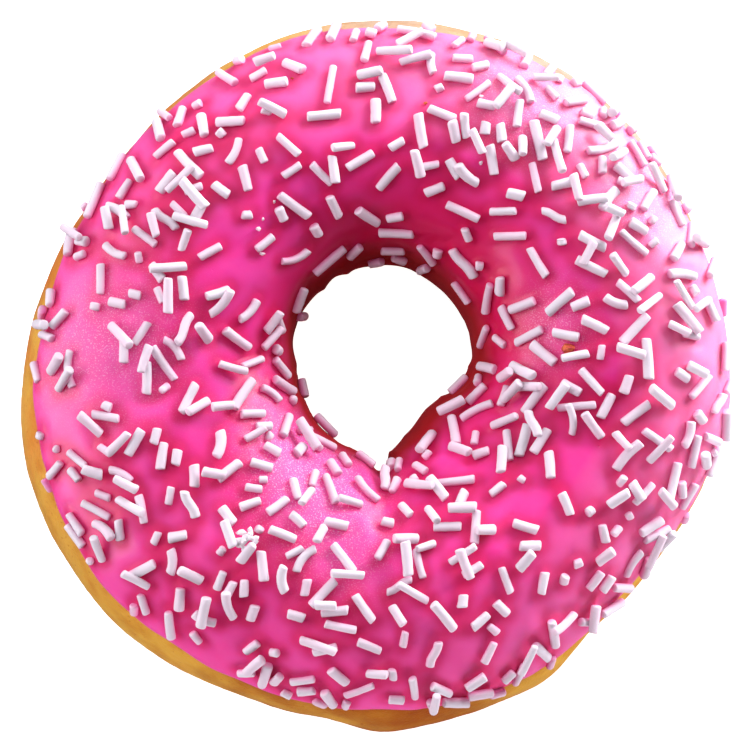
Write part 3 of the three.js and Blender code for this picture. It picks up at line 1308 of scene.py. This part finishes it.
@dataclass
class StrandShape:
    """The body of a sugar strand: a blunt rod, a little uneven, sometimes bent."""

    sides: int = 12
    middle_rings: int = 4
    end_steps: tuple[tuple[float, float], ...] = ((0.0, 0.66), (0.04, 0.86), (0.13, 0.97), (0.28, 1.0))
    end_share: float = 0.3
    taper: float = 0.08
    rise: float = 0.05
    unevenness: float = 0.03
    flatness: float = 0.06
    end_slant: float = 0.22
    slight_bend: float = 8.0
    strong_bend: tuple[float, float] = (25.0, 60.0)
    wave_size: float = 0.28
    bends_above: float = 1.5
    courses: tuple[tuple[Course, float], ...] = (
        (Course.STRAIGHT, 0.84), (Course.BENT, 0.12), (Course.WAVY, 0.04),
    )
    # pink low on each strand, partly soaked icing and partly painted bounce light; more pink near the hole is
    # painted shade
    stain_height: float = 0.75
    low_stain: float = 0.8
    soaked: tuple[float, float] = (0.04, 0.3)
    soaked_power: float = 1.5
    hole_stain: float = 0.10
    hole_painted_shade_from: float = 19.5
    hole_painted_shade_over: float = 5.0
    seed: int = 64

    def build(self, name: str, strands: list[Strand], form: RingForm) -> bpy.types.Object:
        """Make one joined piece of strands.

        Args:
            name: The piece's name.
            strands: The strands, in millimetres.
            form: The form that they lie on.

        Returns:
            The piece, not yet dressed.
        """
        chance = np.random.default_rng(self.seed)
        rods = np.array([self.rod(strand, chance) for strand in strands])
        pairs = zip(strands, rods, strict=True)
        stains_and_bounce = np.array([self.stain(strand, rod, chance) for strand, rod in pairs])
        rings, sides = rods.shape[1:3]
        number = np.arange(rings * sides).reshape(rings, sides)
        turned = np.roll(number, -1, axis=1)
        walls = np.stack([number[:-1], turned[:-1], turned[1:], number[1:]], axis=-1).reshape(-1, 4)
        strip = np.arange(sides // 2 - 1)
        cap = np.stack([strip, sides - 1 - strip, sides - 2 - strip, strip + 1], axis=-1)
        one = np.concatenate([walls, cap, number[-1][cap[:, ::-1]]])
        faces = one[None] + (np.arange(len(strands)) * rings * sides)[:, None, None]
        points = form.placed(rods.reshape(-1, 3))
        return mesh_object(name, points, faces.reshape(-1, 4), {STAIN_AND_BOUNCE: stains_and_bounce.ravel()})

    def rod(self, strand: Strand, chance: np.random.Generator) -> Array:
        """Shape one strand.

        Args:
            strand: Where it lies and how large it is.
            chance: The source of its unevenness.

        Returns:
            Its points, as rings from one end to the other.
        """
        half = strand.half
        steps, factors = np.array(self.end_steps).T
        steps = np.minimum(steps, self.end_share * half)
        inner = half - steps[-1]
        middle = np.linspace(-inner, inner, self.middle_rings + 2)[1:-1]
        along = np.concatenate([steps - half, middle, (half - steps)[::-1]])
        factor = np.concatenate([factors, np.ones(self.middle_rings), factors[::-1]])
        factor = factor * (1 + self.unevenness * chance.uniform(-1, 1, len(along)))
        taper = 1 + chance.uniform(-self.taper, self.taper) * along / half
        path, tangent = self.course(along, half, chance)
        side = unit(np.cross(strand.out, strand.direction))
        up = np.cross(strand.direction, side)
        centre = strand.middle + up * self.rise + path[:, :1] * strand.direction + path[:, 1:] * side
        ahead = tangent[:, :1] * strand.direction + tangent[:, 1:] * side
        beside = np.cross(up, ahead)
        around = np.arange(self.sides) / self.sides * TURN
        facets = 1 + self.flatness * np.cos(3 * around + chance.uniform(0, TURN)) * chance.uniform(0, 1)
        facets = facets + self.flatness * np.cos(2 * around + chance.uniform(0, TURN)) * chance.uniform(-1, 1)
        radius = strand.radius * (factor * taper)[:, None] * facets
        slants = chance.uniform(-self.end_slant, self.end_slant, 2)
        slant = np.interp(along, [-half, 0, half], [slants[0], 0, slants[1]])[:, None]
        across = radius * np.cos(around)
        points = centre[:, None] + across[..., None] * beside[:, None]
        points += (radius * np.sin(around))[..., None] * up
        return points + (slant * across)[..., None] * ahead[:, None]

    def course(self, along: Array, half: float, chance: np.random.Generator) -> tuple[Array, Array]:
        """Draw the line that a strand follows in its own plane.

        Args:
            along: Stations along the strand from its middle.
            half: Half of the strand's length.
            chance: The source of its bend.

        Returns:
            The line's points and its directions, each as two columns: along the strand and beside it.
        """
        kinds, shares = zip(*self.courses, strict=True)
        drawn = kinds[min(int(np.searchsorted(np.cumsum(shares), chance.uniform())), len(kinds) - 1)]
        kind = drawn if half > self.bends_above else Course.STRAIGHT
        sign = 1.0 if chance.uniform() < 0.5 else -1.0
        strong = chance.uniform(*self.strong_bend)
        slight = chance.uniform(0, self.slight_bend)
        bend = strong if kind is Course.BENT else slight
        turning = sign * math.radians(bend) * along / (2 * half)
        if kind is Course.WAVY:
            turning = turning + sign * self.wave_size * np.cos(math.pi * along / half)
        heading = np.stack([np.cos(turning), np.sin(turning)], axis=-1)
        steps = np.diff(along)[:, None] * (heading[:-1] + heading[1:]) / 2
        line = np.concatenate([np.zeros((1, 2)), np.cumsum(steps, axis=0)])
        centre = np.array([(line[0, 0] + line[-1, 0]) / 2, line[:, 1].mean()])
        return line - centre, heading

    def stain(self, strand: Strand, rod: Array, chance: np.random.Generator) -> Array:
        """Find how pink a strand is: icing soaked into it and painted pink bounce light, most where it
        touches the icing, and painted shade on strands near the hole.

        Args:
            strand: The strand.
            rod: Its points.
            chance: The source of the differences between strands.

        Returns:
            The pink at each point, from 0 to 1.
        """
        height = (rod - strand.ground) @ strand.out
        low = np.clip(1 - height / self.stain_height, 0.0, 1.0)
        soaked = chance.uniform(*self.soaked) ** self.soaked_power
        from_middle = math.hypot(strand.middle[0], strand.middle[1])
        inward = (self.hole_painted_shade_from - from_middle) / self.hole_painted_shade_over
        # painted shade: strands nearer the hole are pinker
        soaked += self.hole_stain * min(1.0, max(0.0, inward))
        return np.clip(max(strand.coated, soaked) + self.low_stain * low, 0.0, 1.0)


@dataclass
class SugarStrands:
    """All the strands on the icing."""

    form: RingForm
    strands: list[Strand]
    shape: StrandShape = field(default_factory=StrandShape)

    def build(self) -> bpy.types.Object:
        """Make the strands as one piece.

        Returns:
            The finished piece.
        """
        made = self.shape.build("sugar_strands", self.strands, self.form)
        made.data.materials.append(StrandFinish().material())
        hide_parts("icing")
        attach(made, BODY)
        return made


@dataclass
class IcingCoat:
    """The icing: a poured coat with a rounded edge and soft heaves, sunk a little round each strand."""

    form: RingForm
    around: int = 560
    top: int = 165
    back: int = 14
    crowding: float = 0.4
    sunk_edge: float = 0.35
    lump_margin: float = 0.2
    seam_width: float = 0.02
    heaves: tuple[tuple[float, float], ...] = ((8.5, 0.25), (4.4, 0.15), (2.2, 0.02))
    heave_seed: int = 51
    edge_wobble: tuple[Wave, ...] = (Wave(0.55, 11, 10), Wave(0.4, 19, 5), Wave(0.3, 31, 2))
    edge_moves: tuple[Bump, ...] = (Bump(55, 10, 3.4), Bump(-112, 34, -4.2))
    wobble_fade: int = 8
    fillet_height: float = 0.07
    fillet_reach: float = 0.22
    dip_depth: float = 0.17
    dip_reach: float = 1.15
    # how far the painted shade round each strand reaches
    damp_and_shade_reach: float = 0.9
    # where painted shade darkens the icing towards the hole, and how much sooner it starts on the shaded side
    hole_shade_from: float = 0.59
    hole_shade_to: float = 0.93
    hole_shade_lean: tuple[Wave, ...] = (Wave(0.23, 1, 66),)
    # where the dark painted shade low on the hole's side starts and is full, and how it leans round the ring
    wall_from: float = 0.725
    wall_to: float = 0.86
    wall_lean: tuple[Wave, ...] = (Wave(0.01, 1, 60), Wave(0.015, 2, 128))
    # how far in the pale rim reaches, and the side where its painted highlight is strongest
    thin_and_lit_share: float = 0.42
    thin_and_lit_power: float = 0.6
    lit_side: float = 25.0
    thin_and_lit_least: float = 0.12
    thin_and_lit_most: float = 0.95
    # frosty patches, placed where highlights fall: real grain, with painted sheen and glints in the colour
    frost_and_sheen_spots: tuple[Spot, ...] = (
        Spot(-34.0, 2.0, 8.0, 0.8), Spot(20.0, 4.5, 4.5, 1.0), Spot(-9.0, -14.5, 6.5, 1.6),
        Spot(18.0, 33.0, 6.0, 1.0), Spot(34.0, 20.5, 5.5, 1.0), Spot(-5.0, -24.0, 5.0, 0.6),
        Spot(-14.0, -6.0, 5.0, 0.3),
    )

    def heave(self, points: Array) -> Array:
        """How far the icing heaves up or down at points of the plain coat, in millimetres."""
        listed = enumerate(self.heaves, self.heave_seed)
        return sum(size * Grain(seed).at(points, wave) for seed, (wave, size) in listed)

    def settle(self, strands: list[Strand]) -> None:
        """Let the strands rise and sink with the heaves.

        Args:
            strands: The strands, moved in place.
        """
        for strand in strands:
            move = strand.out * float(self.heave(strand.ground))
            strand.middle = strand.middle + move
            strand.ground = strand.ground + move

    def surface(self, angle: Array, share: Array) -> Array:
        """Find points of the top of the coat.

        Args:
            angle: Directions round the ring, in radians.
            share: Shares of the coat's width.

        Returns:
            The points, in millimetres.
        """
        rounded = self.form.rounded(share)
        lumpy = np.clip(share, self.lump_margin, 1 - self.lump_margin)
        full = self.form.icing_gap + self.form.thickness(angle, lumpy)
        wandered = self.wobbled(angle, share)
        plain_coat = self.form.coat(angle, wandered, full * rounded)
        height = (full + self.heave(plain_coat)) * rounded - self.sunk_edge * (1 - rounded)
        height += self.form.nicks(plain_coat, self.form.latitude(angle, wandered))
        return self.form.coat(angle, wandered, height)

    def shaded_towards_hole(
        self, angle: Array, share: Array, low: float, high: float, lean: tuple[Wave, ...]
    ) -> Array:
        """Find how far painted shade darkens the icing towards the hole.

        Args:
            angle: Directions round the ring, in radians.
            share: Shares of the coat's width.
            low: The share where the painted shade starts.
            high: The share where it is full.
            lean: How much sooner it starts in each direction, as waves round the ring.

        Returns:
            The painted shade at each place, from 0 to 1.
        """
        further = share + waves(lean, angle)
        return eased(np.clip((further - low) / (high - low), 0.0, 1.0))

    def thinned_and_lit(self, angle: Array, share: Array) -> Array:
        """Find how far the icing pales towards its outer edge, where it thins, with a painted highlight
        strongest on the side towards the key lamp.

        Args:
            angle: Directions round the ring, in radians.
            share: Shares of the coat's width.

        Returns:
            The paleness at each place, from 0 to 1.
        """
        outward = np.clip(1 - share / self.thin_and_lit_share, 0.0, 1.0) ** self.thin_and_lit_power
        side = (1 + np.cos(angle - math.radians(self.lit_side))) / 2
        return outward * (self.thin_and_lit_least + (self.thin_and_lit_most - self.thin_and_lit_least) * side**2)

    def wobbled(self, angle: Array, share: Array) -> Array:
        """Move shares of the width a little near the outer edge, so that the edge wanders."""
        reach = math.degrees(math.pi) - self.form.outer_edge
        wobble = waves(self.edge_wobble, angle) + sum(move.over(angle) for move in self.edge_moves)
        return share + wobble / reach * (1 - share) ** self.wobble_fade

    def pressed(self, points: Array, out: Array, strands: list[Strand]) -> tuple[Array, Array]:
        """Sink the icing round the strands, with a small fillet where it touches them.

        Args:
            points: Points of the top, in millimetres.
            out: The way out of the surface at each.
            strands: The strands.

        Returns:
            The moved points, and the painted shade round the strands, partly a real moist darkening, at each,
            from 0 to 1.
        """
        tree = KDTree(len(points))
        for number, point in enumerate(points):
            tree.insert(point, number)
        tree.balance()
        fillet = np.zeros(len(points))
        dip = np.zeros(len(points))
        damp_and_shade = np.zeros(len(points))
        for strand in strands:
            reach = strand.half + strand.radius + 2 * self.dip_reach
            near = np.array([found[1] for found in tree.find_range(Vector(strand.middle), reach)], int)
            if not len(near):
                continue
            away = np.maximum(0.0, strand.away(points[near]))
            fillet[near] = np.maximum(fillet[near], np.exp(-((away / self.fillet_reach) ** 2)))
            dip[near] += np.exp(-((away / self.dip_reach) ** 2))
            damp_and_shade[near] += np.exp(-((away / self.damp_and_shade_reach) ** 2))
        height = self.fillet_height * fillet - self.dip_depth * np.tanh(dip)
        return points + out * height[:, None], np.tanh(damp_and_shade)

    def build(self, strands: list[Strand]) -> bpy.types.Object:
        """Make the coat.

        Args:
            strands: The strands that lie on it.

        Returns:
            The finished piece.
        """
        even = np.arange(self.top) / (self.top - 1)
        share = even - self.crowding * np.sin(TURN * even) / TURN
        turns = np.arange(self.around) / self.around * TURN
        angle, across = np.meshgrid(turns, share, indexing="ij")
        surface = self.surface(angle, across)
        out = frame_of(self.form.body, angle, self.form.latitude(angle, across))[2]
        pressed, damp_and_shade = self.pressed(surface.reshape(-1, 3), out.reshape(-1, 3), strands)
        edge = np.clip(np.minimum(across, 1 - across) / self.seam_width, 0.0, 1.0)[..., None]
        surface = surface * (1 - edge) + pressed.reshape(surface.shape) * edge
        angle, across = np.meshgrid(turns, 1 - np.arange(1, self.back) / self.back, indexing="ij")
        under = self.form.coat(angle, self.wobbled(angle, across), np.full(angle.shape, -self.sunk_edge))
        points = np.concatenate([surface, under], axis=1)
        damp_and_shade = np.concatenate([damp_and_shade.reshape(self.around, self.top), np.zeros(angle.shape)], axis=1)
        turned, shares = np.meshgrid(turns, np.concatenate([share, across[0]]), indexing="ij")
        frost_and_sheen = sum(spot.times * spot.over(points) for spot in self.frost_and_sheen_spots)
        # painted shade towards the hole, and darker painted shade low on the hole's side
        deep = self.shaded_towards_hole(turned, shares, self.hole_shade_from, self.hole_shade_to, self.hole_shade_lean)
        wall = self.shaded_towards_hole(turned, shares, self.wall_from, self.wall_to, self.wall_lean)
        marks = {
            DAMP_AND_SHADE: damp_and_shade.ravel(),
            PAINTED_HOLE_SHADE: deep.ravel(),
            PAINTED_WALL_SHADE: wall.ravel(),
            THIN_AND_LIT: self.thinned_and_lit(turned, shares).ravel(),
            FROST_AND_SHEEN: (np.minimum(1.0, frost_and_sheen) * (1 - deep) * (1 - wall)).ravel(),
        }
        made = closed_grid("icing_coat", self.form.placed(points), marks)
        made.data.materials.append(IcingFinish().material())
        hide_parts("icing")
        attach(made, BODY)
        return made


@dataclass(frozen=True)
class CrumbPlace:
    """Where crumbs lie, seen from above: the centre, reach, number and sizes, and the height of a heap."""

    x: float
    y: float
    reach: float
    count: int
    smallest: float
    largest: float
    heap: float = 0.0


@dataclass
class Crumbs:
    """Small broken lumps that lie on the icing."""

    coat: IcingCoat
    strands: list[Strand]
    name: str
    places: tuple[CrumbPlace, ...]
    seed: int
    finish: StrandFinish | CrustCrumbFinish
    slot: str
    roughness: float = 0.70
    rough_scale: float = 1.4
    rough_shift: float = 9.0
    rough_seeds: int = 999
    stretches: tuple[float, float] = (0.75, 1.25)
    rise: float = 0.45
    detail: int = 1
    looked_around: int = 360
    looked_across: int = 120
    looked_shares: tuple[float, float] = (0.02, 0.80)
    most_looks: int = 400

    def lump(self) -> tuple[Array, Array]:
        """Make a round lump of triangles.

        Returns:
            Its points, one millimetre in radius, and its triangles.
        """
        ball = bmesh.new()
        bmesh.ops.create_icosphere(ball, subdivisions=self.detail, radius=1.0)
        points = np.array([vertex.co[:] for vertex in ball.verts])
        faces = np.array([[vertex.index for vertex in face.verts] for face in ball.faces])
        ball.free()
        return points, faces

    def bare(self, top: Array, wanted: Array, size: float) -> int:
        """Find the nearest bare icing to a wanted place.

        Args:
            top: Points of the icing, in millimetres.
            wanted: The place, seen from above.
            size: The room that the crumb needs there.

        Returns:
            The number of the point.
        """
        nearest = np.argsort(np.linalg.norm(top[:, :2] - wanted, axis=1))[: self.most_looks]
        room = np.min([strand.away(top[nearest]) for strand in self.strands], axis=0)
        return int(nearest[np.argmax(room > size)])

    def build(self) -> bpy.types.Object:
        """Make the crumbs as one piece.

        Returns:
            The finished piece.
        """
        chance = np.random.default_rng(self.seed)
        form = self.coat.form
        angle, share = np.meshgrid(
            np.linspace(0, TURN, self.looked_around + 1)[:-1],
            np.linspace(*self.looked_shares, self.looked_across),
            indexing="ij",
        )
        top = self.coat.surface(angle, share).reshape(-1, 3)
        outs = frame_of(form.icing, angle, share)[2].reshape(-1, 3)
        ball, faces = self.lump()
        points = []
        for place in self.places:
            for _ in range(place.count):
                away = chance.normal(0, place.reach / 2, 2)
                size = chance.uniform(place.smallest, place.largest)
                near = self.bare(top, np.array([place.x, place.y]) + away, -math.inf if place.heap else size)
                height = size * self.rise + place.heap * math.exp(-(away @ away) / place.reach**2)
                stretch = chance.uniform(*self.stretches, 3)
                grain = Grain(int(chance.integers(1, self.rough_seeds)))
                rough = 1 + self.roughness * grain.at(ball * self.rough_scale + self.rough_shift, 1.0)
                lump = ball * rough[:, None] * stretch * size
                points.append(top[near] + outs[near] * height + lump)
        count = len(points)
        joined = (faces[None] + (np.arange(count) * len(ball))[:, None, None]).reshape(-1, 3)
        made = mesh_object(self.name, form.placed(np.concatenate(points)), joined)
        made.data.shade_flat()
        made.data.materials.append(self.finish.material())
        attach(made, BODY)
        return made


@dataclass(frozen=True)
class Lamp:
    """A square soft light that faces the doughnut, with or without a gleam in what it lights."""

    name: str
    azimuth: float
    elevation: float
    power: float
    side: float
    gleams: bool = True


@dataclass
class Studio:
    """The floor, the soft lights, one of them low as if thrown back by the floor, and the dim room."""

    lamps: tuple[Lamp, ...] = (
        Lamp("key", 45.0, 8.0, 25.0, 0.75),
        Lamp("left_fill", 179.0, 17.0, 9.8, 0.90),
        Lamp("low_fill", 296.0, -12.0, 9.0, 0.60, gleams=False),
        Lamp("top_fill", 105.0, 62.0, 5.0, 1.00, gleams=False),
    )
    light_colour: Colour = (0.99, 0.88, 0.99)
    distance: float = 0.9
    floor_side: float = 8.0
    floor_height: float = -0.00005
    aim: Place = (0.0, 0.0, 0.018)
    room: float = 0.12
    room_colour: Colour = (1.0, 0.62, 0.74)

    def build(self) -> None:
        """Set up the floor, the lights and the room."""
        half = self.floor_side / 2
        corners = [(-half, -half), (half, -half), (half, half), (-half, half)]
        points = np.array([(*corner, self.floor_height) for corner in corners])
        floor = mesh_object("floor", points, np.array([[0, 1, 2, 3]]))
        floor.data.materials.append(FloorFinish().material())
        floor.visible_diffuse = False
        floor.visible_glossy = False
        floor.visible_shadow = False
        for lamp in self.lamps:
            self.light(lamp)
        world = bpy.data.worlds.new("room")
        world.use_nodes = True
        world.node_tree.nodes["Background"].inputs["Color"].default_value = plain(self.room_colour)
        world.node_tree.nodes["Background"].inputs["Strength"].default_value = self.room
        bpy.context.scene.world = world
        bpy.context.scene.view_settings.view_transform = "Standard"

    def light(self, lamp: Lamp) -> bpy.types.Object:
        """Hang one light.

        Args:
            lamp: The light's place, size and power.

        Returns:
            The light.
        """
        data = bpy.data.lights.new(lamp.name, "AREA")
        data.energy = lamp.power
        data.size = lamp.side
        data.color = self.light_colour
        made = bpy.data.objects.new(lamp.name, data)
        azimuth, elevation = math.radians(lamp.azimuth), math.radians(lamp.elevation)
        level = math.cos(elevation)
        way = Vector((level * math.cos(azimuth), level * math.sin(azimuth), math.sin(elevation)))
        made.location = Vector(self.aim) + way * self.distance
        made.rotation_euler = way.to_track_quat("Z", "Y").to_euler()
        made.visible_glossy = lamp.gleams
        bpy.context.scene.collection.objects.link(made)
        return made


@dataclass
class OverheadCamera:
    """The camera nearly overhead, leaning a little towards one side, with the picture's top towards +Y."""

    lean: float = 6.0
    toward: float = 240.0
    distance: float = 1.2
    field_width: float = 94.6
    sensor: float = 36.0
    farthest: float = 20.0
    aim: Place = (-0.15, -0.15, 15.0)

    def build(self, form: RingForm) -> bpy.types.Object:
        """Place the camera.

        Args:
            form: The form that it looks at.

        Returns:
            The camera.
        """
        data = bpy.data.cameras.new("overhead")
        data.sensor_width = self.sensor
        data.lens = self.sensor * self.distance / (self.field_width * MM)
        data.clip_end = self.farthest
        made = bpy.data.objects.new("overhead", data)
        lean, toward = math.radians(self.lean), math.radians(self.toward)
        back = Vector((math.sin(lean) * math.cos(toward), math.sin(lean) * math.sin(toward), math.cos(lean)))
        right = Vector((0.0, 1.0, 0.0)).cross(back).normalized()
        up = back.cross(right)
        turned = Matrix((right, up, back)).transposed().to_4x4()
        aim = Vector(np.array(self.aim) + form.move) * MM
        made.matrix_world = Matrix.Translation(aim + back * self.distance) @ turned
        bpy.context.scene.collection.objects.link(made)
        bpy.context.scene.camera = made
        return made


def main() -> None:
    """Build the doughnut and its studio."""
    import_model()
    form = RingForm()
    form.follow_solids()
    log.info("The solids stand %s mm from the formulas.", np.round(form.move, 3))
    log.info("%s is made.", DoughRing(form).build().name)
    strands = StrandLayout(form).lay()
    coat = IcingCoat(form)
    coat.settle(strands)
    log.info("%s is made.", coat.build(strands).name)
    log.info("%s is made, with %d strands.", SugarStrands(form, strands).build().name, len(strands))
    sugar_places = (
        CrumbPlace(-17.0, -22.4, 1.3, 16, 0.34, 0.58, heap=1.9),
        CrumbPlace(-16.0, 14.0, 7.0, 4, 0.20, 0.28),
        CrumbPlace(8.0, 28.0, 10.0, 2, 0.20, 0.30),
    )
    crust_places = (CrumbPlace(24.9, 1.6, 0.1, 1, 0.90, 0.95), CrumbPlace(-6.0, 30.0, 14.0, 2, 0.15, 0.25))
    broken_sugar = StrandFinish("broken_sugar", (0.86, 0.86, 0.86))
    for crumbs in (
        Crumbs(coat, strands, "sugar_crumbs", sugar_places, 8, broken_sugar, "strands"),
        Crumbs(coat, strands, "crust_crumbs", crust_places, 5, CrustCrumbFinish(), "dough"),
    ):
        log.info("%s is made.", crumbs.build().name)
    Studio().build()
    OverheadCamera().build(form)


if __name__ == "__main__":
    logging.basicConfig(level=logging.INFO, format="%(name)s: %(message)s")
    main()
